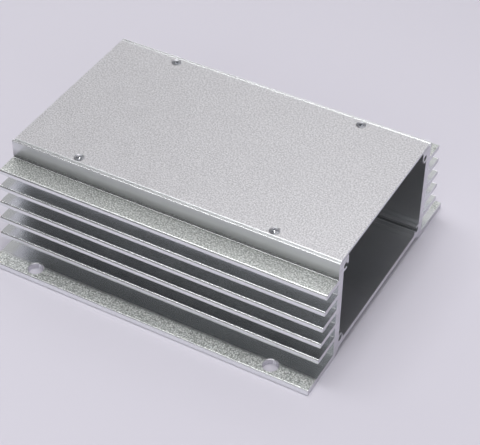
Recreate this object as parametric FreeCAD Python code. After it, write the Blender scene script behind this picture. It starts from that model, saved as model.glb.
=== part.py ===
import FreeCAD, Part
import math
import os

# Extruded aluminium enclosure with side fins, mounting flanges and a screwed-on cover.
# Sizes are in millimetres. X runs along the extrusion, Y across it and Z up.
# The origin is at the middle of the underside.

# Overall sizes
length = 155.4
height = 54.0  # from the feet to the top of the cover
body_width = 88.5  # over the outer faces of the side walls
flange_span = 134.1  # over the tips of the flanges

# Walls, floor and feet
wall_thickness = 4.2
floor_thickness = 2.6
recess_height = 3.8  # clear height under the floor, between the feet
foot_heel = 1.55  # flat of each foot inboard of the wall's outer face
foot_slope_run = 4.3  # width of the sloping side of the recess
plain_round = 0.4  # small radius that the die leaves on ordinary corners
fine_round = 0.2  # the smaller radius of the cover's seat

# Mounting flanges
flange_thickness = 2.9
flange_tip_round = 0.55
flange_hole_diameter = 6.6
flange_hole_chamfer = 0.35
flange_hole_from_tip = 5.25
flange_hole_from_end = 19.7

# Side fins, counted from the top one down
top_fin_drop = 8.8  # from the top of the cover to the top face of the first fin
fin_pitch = 8.0
fin_thickness = 2.35
top_fin_reach = 10.5
fin_reach_step = 1.05  # each fin is longer than the one above it
least_fin_gap = 5.3  # air that is kept above the flange
fin_tip_round = 0.9  # upper corner of each tip
fin_under_round = 0.5  # lower corner of each tip
fin_root_round = 0.5

# Cover plate, and the lip and ledge that hold it
cover_thickness = 1.2
cover_side_clearance = 0.15
cover_end_setback = 0.25
cover_round = 0.6
lip_thickness = 1.35
lip_drop = 0.2  # top of the lip below the top of the cover
ledge_round = 0.6

# C-shaped screw channels in the four inner corners
channel_radius = 1.45
channel_wall = 1.1
channel_from_wall = 1.5  # channel centre to the wall's inner face
channel_below_ledge = 4.0
channel_above_floor = 1.75
mouth_angle = 66.0  # from level inwards, towards mid height

# Countersunk cover screws
screw_from_end = 31.2
screw_from_wall = 0.35  # screw axis inboard of the wall's inner face
screw_head_diameter = 4.5
screw_shank_diameter = 2.5
screw_length = 4.0  # over the head as well, as countersunk screws are measured
screw_head_angle = 90.0
screw_point_length = 0.6
screw_point_diameter = 1.25  # across the blunt end of the point
screw_sink = 0.06  # head below the cover's top face
thread_clearance = 0.05
countersink_clearance = 0.1
screw_hole_clearance = 0.15
pilot_spare_depth = 0.6
cross_span = 2.6
cross_slot = 0.75
cross_depth = 1.3
cross_floor_scale = 0.45  # size of the recess at its floor against its size at the top

# Working allowances that leave no mark on the model
cut_overrun = 1.0  # how far a cutting shape stands out past the face that it cuts
join_tolerance = 1e-6

# Places worked out from the sizes above
wall_outer = body_width / 2
wall_inner = wall_outer - wall_thickness
floor_top = recess_height + floor_thickness
recess_mouth = wall_outer - foot_heel
recess_roof = recess_mouth - foot_slope_run
flange_tip = flange_span / 2
lip_top = height - lip_drop
lip_inner = wall_outer - lip_thickness
ledge_top = height - cover_thickness
cover_width = 2 * (lip_inner - cover_side_clearance)
cover_length = length - 2 * cover_end_setback
channel_y = wall_inner - channel_from_wall
channel_outer_radius = channel_radius + channel_wall
top_channel_z = ledge_top - channel_below_ledge
bottom_channel_z = floor_top + channel_above_floor
screw_x = length / 2 - screw_from_end
screw_y = wall_inner - screw_from_wall
screw_top = height - screw_sink
fin_room = height - top_fin_drop - fin_thickness - flange_thickness - least_fin_gap
fin_count = 1 + int(fin_room / fin_pitch)


def corner(y, z, radius):
    """One corner of an outline, rounded to the radius given."""
    return ("corner", (y, z), radius)


def arc(centre_y, centre_z, radius, start, end):
    """An arc of an outline, between two angles in degrees from +Y towards +Z."""
    angles = [math.radians(a) for a in (start, (start + end) / 2, end)]
    points = [(centre_y + radius * math.cos(a), centre_z + radius * math.sin(a)) for a in angles]
    return ("arc", points)


def backwards(steps):
    """The same steps in the opposite order."""
    return [(step[0], step[1][::-1]) if step[0] == "arc" else step for step in reversed(steps)]


def mirrored(steps):
    """The same steps on the other side of the middle, in the opposite order."""
    result = []
    for step in backwards(steps):
        if step[0] == "arc":
            result.append(("arc", [(-y, z) for y, z in step[1]]))
        else:
            result.append(corner(-step[1][0], step[1][1], step[2]))
    return result


def rounding(before, at, after, radius):
    """Start, middle and end of the arc that rounds the corner at one point."""
    to_before = (FreeCAD.Vector(0, *before) - FreeCAD.Vector(0, *at)).normalize()
    to_after = (FreeCAD.Vector(0, *after) - FreeCAD.Vector(0, *at)).normalize()
    half_angle = to_before.getAngle(to_after) / 2
    apex = FreeCAD.Vector(0, *at)
    trim = radius / math.tan(half_angle)
    bisector = (to_before + to_after).normalize()
    nearest = radius / math.sin(half_angle) - radius
    return apex + to_before * trim, apex + bisector * nearest, apex + to_after * trim


def section_face(steps):
    """A closed flat face in the Y-Z plane from corners and arcs in order."""
    edges = []
    ends = []
    for index, step in enumerate(steps):
        if step[0] == "arc":
            start, middle, end = [FreeCAD.Vector(0, *point) for point in step[1]]
        else:
            previous = steps[index - 1]
            following = steps[(index + 1) % len(steps)]
            before = previous[1] if previous[0] == "corner" else previous[1][-1]
            after = following[1] if following[0] == "corner" else following[1][0]
            start, middle, end = rounding(before, step[1], after, step[2])
        edges.append(Part.Arc(start, middle, end).toShape())
        ends.append((start, end))
    for index, (start, end) in enumerate(ends):
        previous_end = ends[index - 1][1]
        if previous_end.distanceToPoint(start) > join_tolerance:
            edges.append(Part.makeLine(previous_end, start))
    wire = Part.Wire(Part.__sortEdges__(edges))
    return Part.Face(wire)


def extruded(face, run):
    """A solid of the section, run along X and centred on the origin."""
    solid = face.extrude(FreeCAD.Vector(run, 0, 0))
    solid.translate(FreeCAD.Vector(-run / 2, 0, 0))
    return solid


def drilled(shape, radius, places, bottom, top):
    """The shape with an upright round hole at each place."""
    for x, y in places:
        hole = Part.makeCylinder(radius, top - bottom, FreeCAD.Vector(x, y, bottom))
        shape = shape.cut(hole)
    return shape


def four_places(x, y):
    """The four corners of a rectangle about the origin."""
    return [(side_x * x, side_y * y) for side_x in (-1, 1) for side_y in (-1, 1)]


def channel_steps(centre_z, upward):
    """A screw channel's outline, from the side wall round to the leg that stands inboard.

    The arm from the wall ends in a round tip, then comes the bore, and the leg's
    round tip lies level with the bore's centre. The mouth is tilted up where
    upward is true, and down otherwise.
    """
    wall_angle = math.degrees(math.acos(channel_from_wall / channel_outer_radius))
    arm_angle = 180.0 - mouth_angle
    tip_radius = channel_wall / 2
    tip_reach = channel_radius + tip_radius
    arm_turn = math.radians(arm_angle)
    arm_tip_y = channel_y + tip_reach * math.cos(arm_turn)
    arm_tip_z = centre_z + tip_reach * math.sin(arm_turn)
    steps = [
        arc(channel_y, centre_z, channel_outer_radius, wall_angle, arm_angle),
        arc(arm_tip_y, arm_tip_z, tip_radius, arm_angle, arm_angle + 180),
        arc(channel_y, centre_z, channel_radius, arm_angle, -180),
        arc(channel_y - tip_reach, centre_z, tip_radius, 0, 180),
    ]
    if upward:
        return steps
    return [("arc", [(y, 2 * centre_z - z) for y, z in step[1]]) for step in steps]


def fin_steps():
    """The fins of one side, from the lowest to the highest."""
    steps = []
    for number in reversed(range(fin_count)):
        top = height - top_fin_drop - number * fin_pitch
        tip = wall_outer + top_fin_reach + number * fin_reach_step
        steps.append(corner(wall_outer, top - fin_thickness, fin_root_round))
        steps.append(corner(tip, top - fin_thickness, fin_under_round))
        steps.append(corner(tip, top, fin_tip_round))
        steps.append(corner(wall_outer, top, fin_root_round))
    return steps


def half_section():
    """One side of the extrusion, from under the floor, out, up and back down inside."""
    ledge_inner = channel_y - channel_outer_radius
    steps = [
        corner(recess_roof, recess_height, plain_round),
        corner(recess_mouth, 0, plain_round),
        corner(flange_tip, 0, plain_round),
        corner(flange_tip, flange_thickness, flange_tip_round),
        corner(wall_outer, flange_thickness, plain_round),
    ]
    steps += fin_steps()
    steps += [
        corner(wall_outer, lip_top, plain_round),
        corner(lip_inner, lip_top, plain_round),
        corner(lip_inner, ledge_top, fine_round),
        corner(ledge_inner, ledge_top, ledge_round),
    ]
    steps += backwards(channel_steps(top_channel_z, upward=False))
    steps += channel_steps(bottom_channel_z, upward=True)
    steps.append(corner(ledge_inner, floor_top, plain_round))
    return steps


def make_base_extrusion():
    """The one-piece extrusion, with its flange holes and the cover screws' holes."""
    side = half_section()
    base = extruded(section_face(side + mirrored(side)), length)
    hole_x = length / 2 - flange_hole_from_end
    hole_y = flange_tip - flange_hole_from_tip
    holes = four_places(hole_x, hole_y)
    hole_radius = flange_hole_diameter / 2
    base = drilled(base, hole_radius, holes, -cut_overrun, flange_thickness + cut_overrun)
    for x, y in holes:
        foot = FreeCAD.Vector(x, y, flange_thickness - flange_hole_chamfer)
        rim_radius = hole_radius + flange_hole_chamfer
        base = base.cut(Part.makeCone(hole_radius, rim_radius, flange_hole_chamfer, foot))
    pilot_radius = screw_shank_diameter / 2 + thread_clearance
    pilot_bottom = screw_top - screw_length - pilot_spare_depth
    pilots = four_places(screw_x, screw_y)
    return drilled(base, pilot_radius, pilots, pilot_bottom, height)


def screw_cone(top_radius, top_z, bottom_radius):
    """A cone at the screw head's angle, from its top face down to a smaller radius."""
    depth = (top_radius - bottom_radius) / math.tan(math.radians(screw_head_angle / 2))
    return Part.makeCone(bottom_radius, top_radius, depth, FreeCAD.Vector(0, 0, top_z - depth))


def make_top_cover():
    """The flat cover with rounded long edges and four countersunk holes."""
    half = cover_width / 2
    steps = [
        corner(half, ledge_top, fine_round),
        corner(half, height, cover_round),
    ]
    cover = extruded(section_face(steps + mirrored(steps)), cover_length)
    hole_radius = screw_shank_diameter / 2 + screw_hole_clearance
    mouth_radius = screw_head_diameter / 2 + countersink_clearance
    places = four_places(screw_x, screw_y)
    cover = drilled(cover, hole_radius, places, ledge_top - cut_overrun, height + cut_overrun)
    sink = screw_cone(mouth_radius + screw_sink, height, hole_radius)
    for x, y in places:
        cover = cover.cut(sink.translated(FreeCAD.Vector(x, y, 0)))
    return cover


def cross_outline(span, slot, z):
    """A closed plus-shaped wire, with arms of the span and slot width given."""
    outer = span / 2
    inner = slot / 2
    arm = [(outer, -inner), (outer, inner), (inner, inner)]
    points = []
    for turn in range(4):
        for x, y in arm:
            for quarter in range(turn):
                x, y = -y, x
            points.append(FreeCAD.Vector(x, y, z))
    return Part.makePolygon(points + points[:1])


def make_cover_screw():
    """One countersunk screw with a tapered cross recess, on its own axis."""
    shank_radius = screw_shank_diameter / 2
    head = screw_cone(screw_head_diameter / 2, screw_top, shank_radius)
    point_top = screw_top - screw_length + screw_point_length
    shank_top = head.BoundBox.ZMin
    shank = Part.makeCylinder(shank_radius, shank_top - point_top, FreeCAD.Vector(0, 0, point_top))
    point_base = FreeCAD.Vector(0, 0, point_top - screw_point_length)
    point_radius = screw_point_diameter / 2
    point = Part.makeCone(point_radius, shank_radius, screw_point_length, point_base)
    recess_top = cross_outline(cross_span, cross_slot, screw_top)
    floor_span = cross_span * cross_floor_scale
    floor_slot = cross_slot * cross_floor_scale
    recess_floor = cross_outline(floor_span, floor_slot, screw_top - cross_depth)
    recess = Part.makeLoft([recess_top, recess_floor], True, True)
    return head.fuse([shank, point]).removeSplitter().cut(recess)


def main():
    os.makedirs("parts", exist_ok=True)
    make_base_extrusion().exportStep("parts/base_extrusion.step")
    make_top_cover().exportStep("parts/top_cover.step")
    screw = make_cover_screw()
    for number, (x, y) in enumerate(four_places(screw_x, screw_y), start=1):
        placed = screw.translated(FreeCAD.Vector(x, y, 0))
        placed.exportStep(f"parts/cover_screw_{number}.step")


main()
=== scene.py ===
import math
import bpy
import numpy as np
from mathutils import Matrix, Vector


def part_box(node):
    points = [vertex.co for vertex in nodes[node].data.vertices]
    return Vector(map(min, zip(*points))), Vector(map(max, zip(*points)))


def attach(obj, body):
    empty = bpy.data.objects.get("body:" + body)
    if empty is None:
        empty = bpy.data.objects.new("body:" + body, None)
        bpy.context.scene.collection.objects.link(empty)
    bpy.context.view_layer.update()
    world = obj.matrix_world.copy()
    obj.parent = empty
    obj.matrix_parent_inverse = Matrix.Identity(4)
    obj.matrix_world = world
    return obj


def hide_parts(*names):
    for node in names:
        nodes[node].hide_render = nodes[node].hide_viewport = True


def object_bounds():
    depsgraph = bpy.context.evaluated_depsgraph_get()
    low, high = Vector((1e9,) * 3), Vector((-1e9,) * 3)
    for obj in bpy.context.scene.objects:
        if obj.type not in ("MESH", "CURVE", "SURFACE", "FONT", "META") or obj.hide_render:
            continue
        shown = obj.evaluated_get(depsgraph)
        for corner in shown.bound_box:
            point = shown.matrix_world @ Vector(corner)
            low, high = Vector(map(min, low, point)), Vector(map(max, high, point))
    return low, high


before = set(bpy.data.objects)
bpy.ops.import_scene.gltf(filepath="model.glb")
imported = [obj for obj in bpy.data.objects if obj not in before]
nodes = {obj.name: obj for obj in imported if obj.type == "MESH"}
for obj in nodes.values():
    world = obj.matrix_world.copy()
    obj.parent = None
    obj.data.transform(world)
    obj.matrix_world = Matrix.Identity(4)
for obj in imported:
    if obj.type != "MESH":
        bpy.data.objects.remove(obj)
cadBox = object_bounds()
print("stage: frame loaded,", len(nodes), "parts")

millimetre = 0.001
noiseRange = {"From Min": 0.35, "From Max": 0.65}  # nearly all values of a noise pattern lie between these


def linear(hexColour):
    # sRGB hex value to the linear colour that shaders and lamps use
    channels = [int(hexColour[i:i + 2], 16) / 255 for i in (1, 3, 5)]
    return [c / 12.92 if c <= 0.04045 else ((c + 0.055) / 1.055) ** 2.4 for c in channels] + [1.0]


def addNode(tree, kind, settings=None, links=None):
    # A node with its own settings or socket values by name, and links as input: (node, output). A Mix node
    # takes its factor at 0, two numbers at 2 and 3 or two colours at 6 and 7, and gives a number at output 0
    # and a colour at output 2.
    node = tree.nodes.new(kind)
    for name, value in (settings or {}).items():
        if isinstance(name, str) and hasattr(node, name):
            setattr(node, name, value)
        else:
            node.inputs[name].default_value = value
    for name, (source, output) in (links or {}).items():
        tree.links.new(source.outputs[output], node.inputs[name])
    return node


def newMaterial(name):
    material = bpy.data.materials.new(name)
    material.use_nodes = True
    material.node_tree.nodes.clear()
    return material, material.node_tree


# Bead-blasted, clear-anodised extrusion: a satin metal that glitters where the blast struck it from above,
# is smooth and dark down between the fins, where the beads hardly reached, and is bare where it was cut
# the strip of wall over the fins is given painted shade, darkest at its foot
caseFinish = {
    "paleGrain": "#F4F6F4",
    "darkGrain": "#939794",
    "plain": "#ECEEEF",  # away from the grain
    "cut": "#D8D7DC",  # sawn ends and drilled holes
    "roughness": 0.46,
    "plainRoughness": 0.24,
    "cutRoughness": 0.42,
    "roughnessSpread": 0.02,
    "grainSize": 0.62,  # mm, real blasting is about 0.2 and is drawn coarser so that it shows
    "grainDepth": 0.01,  # mm
    "cloudSize": 9.0,  # mm, slow drift of the finish across a face
    "cloudRange": (0.3, 0.7),
    "sawPitch": 0.6,  # mm, real saw marks are about 0.2 apart and are drawn coarser so that they show
    "sawLength": 9.0,  # mm
    "sawTones": (0.9, 1.06),
    # limits between which a region sets in, for a face that looks up, sideways or out at an end
    "levelFacing": (0.9, 0.99),
    "wallFacing": (0.5, 0.6),
    "endFacing": (0.15, 0.25),
    # and in mm above the table or from the middle
    "topHeight": (44.6, 44.7),  # just under the top face of the highest fins
    "lipHeight": (50.0, 49.9),  # the lips' narrow tops are rubbed smooth
    "flangeHeight": (5.0, 4.9),
    "flangeReach": (59.0, 61.0),  # just past the fins' tips
    "wallReach": (43.4, 43.5),
    "wallHeight": (45.25, 45.35),  # the strip of wall over the fins
    "wallClimb": (45.3, 50.3),  # where the strip's painted shade fades and it gets rougher upwards
    # painted shade on that strip: the colour factor at its foot and at its top
    "wallShadeTones": (0.32, 0.85),
    "wallRoughness": 0.36,
}
# the flat cover: the same finish, a little bluer and more even, because all of it lay open to the blast
coverFinish = {**caseFinish, "paleGrain": "#EDECEF", "darkGrain": "#BDBCBF", "roughness": 0.42,
               "plainRoughness": 0.4, "lipHeight": (60.0, 59.9)}  # all of its top is struck


def region(tree, limits):
    # 1 where every source is past its pair of limits, 0 outside them: the product of the ramps
    product = None
    for source, (start, end) in limits:
        ramp = addNode(tree, "ShaderNodeMapRange", {"From Min": start, "From Max": end}, {"Value": source})
        if product is None:
            product = (ramp, "Result")
        else:
            joined = addNode(tree, "ShaderNodeMath", {"operation": "MULTIPLY"},
                             {0: product, 1: (ramp, "Result")})
            product = (joined, "Value")
    return product


def makeBlasted(name, values):
    material, tree = newMaterial(name)
    place = addNode(tree, "ShaderNodeTexCoord")
    inMillimetres = addNode(tree, "ShaderNodeVectorMath", {"operation": "SCALE", "Scale": 1 / millimetre},
                            {0: (place, "Object")})
    # the case is the same on both sides and at both ends, so distances and facings go without their signs
    distance = addNode(tree, "ShaderNodeVectorMath", {"operation": "ABSOLUTE"},
                       {0: (inMillimetres, "Vector")})
    away = addNode(tree, "ShaderNodeSeparateXYZ", None, {0: (distance, "Vector")})
    unsigned = addNode(tree, "ShaderNodeVectorMath", {"operation": "ABSOLUTE"}, {0: (place, "Normal")})
    facing = addNode(tree, "ShaderNodeSeparateXYZ", None, {0: (unsigned, "Vector")})
    level = ((facing, "Z"), values["levelFacing"])
    onTop = region(tree, [level, ((away, "Z"), values["topHeight"]), ((away, "Z"), values["lipHeight"])])
    onFlange = region(tree, [level, ((away, "Z"), values["flangeHeight"]),
                             ((away, "Y"), values["flangeReach"])])
    struck = addNode(tree, "ShaderNodeMath", {"operation": "MAXIMUM"}, {0: onTop, 1: onFlange})
    wallStrip = region(tree, [((facing, "Y"), values["wallFacing"]), ((away, "Y"), values["wallReach"]),
                              ((away, "Z"), values["wallHeight"])])
    cutFace = region(tree, [((facing, "X"), values["endFacing"])])

    # blasted grain: pale tips and dark pits
    grain = addNode(tree, "ShaderNodeTexNoise",
                    {"Scale": 1 / values["grainSize"], "Detail": 2.0, "Roughness": 0.5},
                    {"Vector": (inMillimetres, "Vector")})
    glitter = addNode(tree, "ShaderNodeMapRange", noiseRange, {"Value": (grain, "Fac")})
    speckle = addNode(tree, "ShaderNodeMix",
                      {"data_type": "RGBA", 6: linear(values["darkGrain"]), 7: linear(values["paleGrain"])},
                      {0: (glitter, "Result")})

    # the strip of wall over the fins, with painted shade that is darkest at its foot
    climb = region(tree, [((away, "Z"), values["wallClimb"])])
    wallFootShade = addNode(tree, "ShaderNodeMapRange",
                       {"To Min": values["wallShadeTones"][0], "To Max": values["wallShadeTones"][1]}, {"Value": climb})
    # painted shade: the plain colour is darkened on the wall strip towards its foot
    wallShadeFactor = addNode(tree, "ShaderNodeMix", {2: 1.0}, {0: wallStrip, 3: (wallFootShade, "Result")})
    plain = addNode(tree, "ShaderNodeVectorMath", {"operation": "SCALE", 0: linear(values["plain"])[:3]},
                    {"Scale": (wallShadeFactor, 0)})
    blasted = addNode(tree, "ShaderNodeMix", {"data_type": "RGBA"},
                      {0: (struck, "Value"), 6: (plain, "Vector"), 7: (speckle, 2)})

    # saw marks, long across the case and narrow up and down
    along = addNode(tree, "ShaderNodeVectorMath",
                    {"operation": "DIVIDE", 1: (values["sawPitch"], values["sawLength"], values["sawPitch"])},
                    {0: (inMillimetres, "Vector")})
    marks = addNode(tree, "ShaderNodeTexNoise", {"Scale": 1.0, "Detail": 1.0}, {"Vector": (along, "Vector")})
    markTone = addNode(tree, "ShaderNodeMapRange",
                       {**noiseRange, "To Min": values["sawTones"][0], "To Max": values["sawTones"][1]},
                       {"Value": (marks, "Fac")})
    bare = addNode(tree, "ShaderNodeVectorMath", {"operation": "SCALE", 0: linear(values["cut"])[:3]},
                   {"Scale": (markTone, "Result")})
    colour = addNode(tree, "ShaderNodeMix", {"data_type": "RGBA"},
                     {0: cutFace, 6: (blasted, 2), 7: (bare, "Vector")})

    # roughness: each region in turn over the plain one, with a slow drift
    wallRise = addNode(tree, "ShaderNodeMath", {"operation": "MULTIPLY"}, {0: wallStrip, 1: climb})
    roughness = addNode(tree, "ShaderNodeMix", {2: values["plainRoughness"], 3: values["roughness"]},
                        {0: (struck, "Value")})
    for amount, rough in (((wallRise, "Value"), values["wallRoughness"]), (cutFace, values["cutRoughness"])):
        roughness = addNode(tree, "ShaderNodeMix", {3: rough}, {0: amount, 2: (roughness, 0)})
    cloud = addNode(tree, "ShaderNodeTexNoise", {"Scale": 1 / values["cloudSize"], "Detail": 3.0},
                    {"Vector": (inMillimetres, "Vector")})
    drift = addNode(tree, "ShaderNodeMapRange",
                    {"From Min": values["cloudRange"][0], "From Max": values["cloudRange"][1],
                     "To Min": -values["roughnessSpread"], "To Max": values["roughnessSpread"]},
                    {"Value": (cloud, "Fac")})
    drifting = addNode(tree, "ShaderNodeMath", {"operation": "ADD"},
                       {0: (roughness, 0), 1: (drift, "Result")})

    # the grain stands up only where the blast struck
    depth = addNode(tree, "ShaderNodeMath", {"operation": "MULTIPLY"},
                    {0: (grain, "Fac"), 1: (struck, "Value")})
    bump = addNode(tree, "ShaderNodeBump", {"Strength": 1.0, "Distance": values["grainDepth"] * millimetre},
                   {"Height": (depth, "Value")})
    shader = addNode(tree, "ShaderNodeBsdfPrincipled", {"Metallic": 1.0},
                     {"Base Color": (colour, 2), "Roughness": (drifting, "Value"),
                      "Normal": (bump, "Normal")})
    addNode(tree, "ShaderNodeOutputMaterial", None, {"Surface": (shader, "BSDF")})
    return material


# Zinc-plated steel screws: bright and smooth, with faint cloudy patches that the plating bath leaves
plated = {
    "pale": "#BDBEC2",
    "dark": "#9C9EA4",
    "patchSize": 0.9,  # mm
    "roughness": 0.17,
    "patchRoughness": 0.24,
}


def makePlated(name, values):
    material, tree = newMaterial(name)
    place = addNode(tree, "ShaderNodeTexCoord")
    patches = addNode(tree, "ShaderNodeTexNoise",
                      {"Scale": 1 / (values["patchSize"] * millimetre), "Detail": 1.0},
                      {"Vector": (place, "Object")})
    amount = addNode(tree, "ShaderNodeMapRange", noiseRange, {"Value": (patches, "Fac")})
    colour = addNode(tree, "ShaderNodeMix",
                     {"data_type": "RGBA", 6: linear(values["pale"]), 7: linear(values["dark"])},
                     {0: (amount, "Result")})
    roughness = addNode(tree, "ShaderNodeMix", {2: values["roughness"], 3: values["patchRoughness"]},
                        {0: (amount, "Result")})
    shader = addNode(tree, "ShaderNodeBsdfPrincipled", {"Metallic": 1.0},
                     {"Base Color": (colour, 2), "Roughness": (roughness, 0)})
    addNode(tree, "ShaderNodeOutputMaterial", None, {"Surface": (shader, "BSDF")})
    return material


# Countersunk cover screws, each with a low domed head and a cross recess, in mm
coverScrew = {
    "shankRadius": 1.25,
    "pointRadius": 0.625,
    "pointLength": 0.6,
    "rise": 0.24,  # of the dome over its rim
    "crossSpan": 2.6,
    "crossWidth": 0.75,
    "crossDepth": 1.2,
    "crossWall": 0.17,  # run of the recess's sloping wall
    "armShallower": 0.55,  # share of the depth that an arm loses by its end
    "turns": (20, 65, 40, 80),  # degrees, where each screw came to rest
    "sharpAngle": 25,  # degrees, from which an edge isn't smoothed
    "rings": 32,
    "sides": 96,
}


def makeCoverScrew(node, turn, values, material):
    # A profile of rings turned round the screw's axis. The head is a parabola in the distance from the axis,
    # less the recess, which deepens inwards from the outline of two crossed bars. Below it the rings narrow
    # to the countersink cone's foot, go straight down the shank and narrow to the point.
    low, high = (np.array(corner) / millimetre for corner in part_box(node))
    middleX, middleY = (low[:2] + high[:2]) / 2
    top = cadBox[1][2] / millimetre
    rimHeight = top - values["rise"]
    rimRadius = (high[0] - low[0]) / 2 - (high[2] - rimHeight)  # on the head's cone of 90 degrees
    reach = np.linspace(0, rimRadius, values["rings"] + 1)[1:]
    shank, point = values["shankRadius"], values["pointRadius"]
    radius = np.concatenate([reach, [shank, shank, point]])
    height = np.concatenate([top - values["rise"] * (reach / rimRadius) ** 2,
                             [rimHeight - rimRadius + shank, low[2] + values["pointLength"], low[2]]])
    angle = np.linspace(0, 2 * math.pi, values["sides"], endpoint=False)
    across = radius[:, None] * np.cos(angle)
    along = radius[:, None] * np.sin(angle)
    wide, narrow = values["crossSpan"] / 2, values["crossWidth"] / 2
    outside = np.minimum(np.maximum(abs(across) - wide, abs(along) - narrow),
                         np.maximum(abs(along) - wide, abs(across) - narrow))
    wallShare = np.clip(-outside / values["crossWall"], 0, 1)
    deepening = wallShare * (1 - values["armShallower"] * radius[:, None] / wide)
    onHead = np.arange(len(radius))[:, None] < values["rings"]
    z = height[:, None] - np.where(onHead, deepening, 0) * values["crossDepth"]
    turned = math.radians(turn)
    x = middleX + across * math.cos(turned) - along * math.sin(turned)
    y = middleY + across * math.sin(turned) + along * math.cos(turned)
    rings = np.stack([x, y, z], -1).reshape(-1, 3)
    ends = np.array([[middleX, middleY, end] for end in (top - values["crossDepth"], low[2])])
    points = np.concatenate([rings, ends]) * millimetre

    # quads between neighbouring rings, and a fan of triangles at each end
    index = np.arange(len(rings)).reshape(len(radius), -1)
    after = np.roll(index, -1, axis=1)
    quads = np.stack([index[:-1], index[1:], after[1:], after[:-1]], -1).reshape(-1, 4)
    topFan = np.stack([np.full_like(index[0], len(rings)), index[0], after[0]], -1)
    bottomFan = np.stack([np.full_like(index[0], len(rings) + 1), after[-1], index[-1]], -1)
    mesh = bpy.data.meshes.new(node)
    mesh.from_pydata(points.tolist(), [], quads.tolist() + topFan.tolist() + bottomFan.tolist())
    mesh.shade_smooth()
    mesh.set_sharp_from_angle(angle=math.radians(values["sharpAngle"]))
    mesh.materials.append(material)
    piece = bpy.data.objects.new("domed_" + node, mesh)
    bpy.context.scene.collection.objects.link(piece)
    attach(piece, "root")
    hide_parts(node)


nodes["base_extrusion"].data.materials[0] = makeBlasted("blastedAnodisedAluminiumCase", caseFinish)
nodes["top_cover"].data.materials[0] = makeBlasted("blastedAnodisedAluminiumCover", coverFinish)
screwMetal = makePlated("zincPlatedSteel", plated)
for number, turn in enumerate(coverScrew["turns"], start=1):
    makeCoverScrew(f"cover_screw_{number}", turn, coverScrew, screwMetal)
print("stage: finishes and screws")

# The table top: a pale, slightly violet grey sheet
table = {
    "colour": "#D0CDD7",
    "roughness": 0.75,
    "specular": 0.2,
    "width": 6.0,  # m
    "columns": 3,
    "gap": 0.00005,  # m, between the feet and the sheet
}


def makeTable(values):
    # a square flat grid around the part, at the height of its feet
    half = values["width"] / 2
    side = np.linspace(-half, half, values["columns"])
    x, y = np.meshgrid(side, side, indexing="ij")
    points = np.stack([x, y, np.full_like(x, -values["gap"])], -1).reshape(-1, 3)
    index = np.arange(x.size).reshape(x.shape)
    quads = np.stack([index[:-1, :-1], index[1:, :-1], index[1:, 1:], index[:-1, 1:]], -1).reshape(-1, 4)
    mesh = bpy.data.meshes.new("tableTop")
    mesh.from_pydata(points.tolist(), [], quads.tolist())
    top = bpy.data.objects.new("tableTop", mesh)
    bpy.context.scene.collection.objects.link(top)
    material, tree = newMaterial("paleTable")
    shader = addNode(tree, "ShaderNodeBsdfPrincipled",
                     {"Base Color": linear(values["colour"]), "Roughness": values["roughness"],
                      "Specular IOR Level": values["specular"]})
    addNode(tree, "ShaderNodeOutputMaterial", None, {"Surface": (shader, "BSDF")})
    mesh.materials.append(material)


makeTable(table)

# Soft boxes around the table: angles in degrees, distances and sizes in metres, power in watts
aimHeight = 0.02  # m, the height that they all look at
softBoxes = {
    "zenith": {"azimuth": 0, "elevation": 90, "distance": 1.1, "size": (0.3, 0.3), "power": 2.3},
    "overhead": {"azimuth": 0, "elevation": 90, "distance": 0.62, "size": (0.2, 0.2), "power": 0.61},
    "overheadFront": {"azimuth": 315, "elevation": 74, "distance": 0.62, "size": (0.2, 0.2), "power": 0.7},
    "edgeLine": {"azimuth": 180, "elevation": 69, "distance": 1.1, "size": (0.3, 0.3), "power": 1.5},
    "highBehind": {"azimuth": 90, "elevation": 58, "distance": 1.1, "size": (0.45, 0.45), "power": 0.53},
    "behindRight": {"azimuth": 45, "elevation": 38, "distance": 1.1, "size": (0.9, 0.8), "power": 0.38},
    "behind": {"azimuth": 90, "elevation": 38, "distance": 1.1, "size": (0.9, 0.8), "power": 0.68},
    "behindLeft": {"azimuth": 135, "elevation": 38, "distance": 1.1, "size": (0.9, 0.8), "power": 0.53},
    "lowBehindLeft": {"azimuth": 135, "elevation": 10, "distance": 1.3, "size": (1.8, 0.4), "power": 6.7},
    "fillFront": {"azimuth": 240, "elevation": 41, "distance": 1.1, "size": (1.0, 0.9), "power": 0.1},
    "lowLeft": {"azimuth": 180, "elevation": 11, "distance": 1.1, "size": (0.85, 0.35), "power": 0.42},
    "lowFrontLeft": {"azimuth": 225, "elevation": 11, "distance": 1.1, "size": (0.85, 0.35), "power": 0.11},
    "lowFront": {"azimuth": 270, "elevation": 11, "distance": 1.1, "size": (0.85, 0.35), "power": 0.5},
    "lowFrontRight": {"azimuth": 303, "elevation": 24, "distance": 1.3, "size": (2.0, 1.0), "power": 8.0},
}


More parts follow.
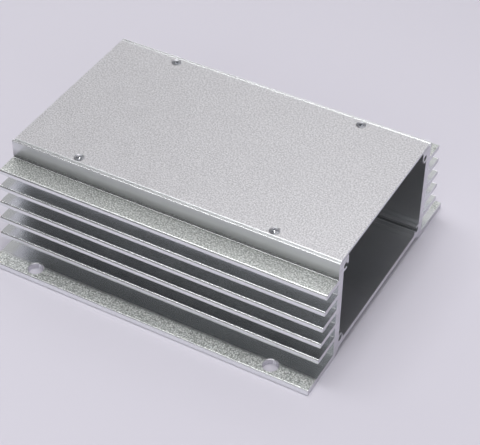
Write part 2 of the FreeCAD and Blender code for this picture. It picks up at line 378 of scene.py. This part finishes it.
def makeSoftBox(name, values):
    light = bpy.data.lights.new(name, "AREA")
    light.shape = "RECTANGLE"
    light.size, light.size_y = values["size"]
    light.energy = values["power"]
    lamp = bpy.data.objects.new(name, light)
    bpy.context.scene.collection.objects.link(lamp)
    turn = math.radians(values["azimuth"])
    rise = math.radians(values["elevation"])
    outward = Vector((math.cos(turn) * math.cos(rise), math.sin(turn) * math.cos(rise), math.sin(rise)))
    lamp.location = outward * values["distance"]
    lamp.rotation_euler = (lamp.location - Vector((0, 0, aimHeight))).to_track_quat("Z", "Y").to_euler()


for name, values in softBoxes.items():
    makeSoftBox(name, values)

# The room beyond the soft boxes, dim and even
room = {"colour": "#F2F1F6", "strength": 0.2}
world = bpy.data.worlds.new("room")
world.use_nodes = True
bpy.context.scene.world = world
background = world.node_tree.nodes["Background"]
background.inputs["Color"].default_value = linear(room["colour"])
background.inputs["Strength"].default_value = room["strength"]
print("stage: table and lights")

# The camera, as the photograph was taken: angles in degrees, distances in metres, lens and sensor in mm
view = {"azimuth": 28.52, "elevation": 41.34, "roll": 0.88, "distance": 0.65906, "lens": 112.91,
        "sensorWidth": 36.0, "aimHeight": 0.027, "aimRight": 0.00806, "aimUp": -0.01436, "farthest": 20.0}


def makeCamera(values):
    turn = math.radians(values["azimuth"])
    rise = math.radians(values["elevation"])
    roll = math.radians(values["roll"])
    back = Vector((math.sin(turn) * math.cos(rise), -math.cos(turn) * math.cos(rise), math.sin(rise)))
    right = Vector((0, 0, 1)).cross(back).normalized()
    up = back.cross(right)
    aim = Vector((0, 0, values["aimHeight"])) + right * values["aimRight"] + up * values["aimUp"]
    turnedRight = right * math.cos(roll) + up * math.sin(roll)
    turnedUp = up * math.cos(roll) - right * math.sin(roll)
    data = bpy.data.cameras.new("camera")
    data.sensor_fit = "HORIZONTAL"
    data.sensor_width = values["sensorWidth"]
    data.lens = values["lens"]
    data.clip_end = values["farthest"]
    camera = bpy.data.objects.new("camera", data)
    bpy.context.scene.collection.objects.link(camera)
    frameOfView = Matrix((turnedRight, turnedUp, back)).transposed().to_4x4()
    frameOfView.translation = aim + back * values["distance"]
    camera.matrix_world = frameOfView
    bpy.context.scene.camera = camera


makeCamera(view)
bpy.context.scene.view_settings.view_transform = "Standard"
print("stage: camera")
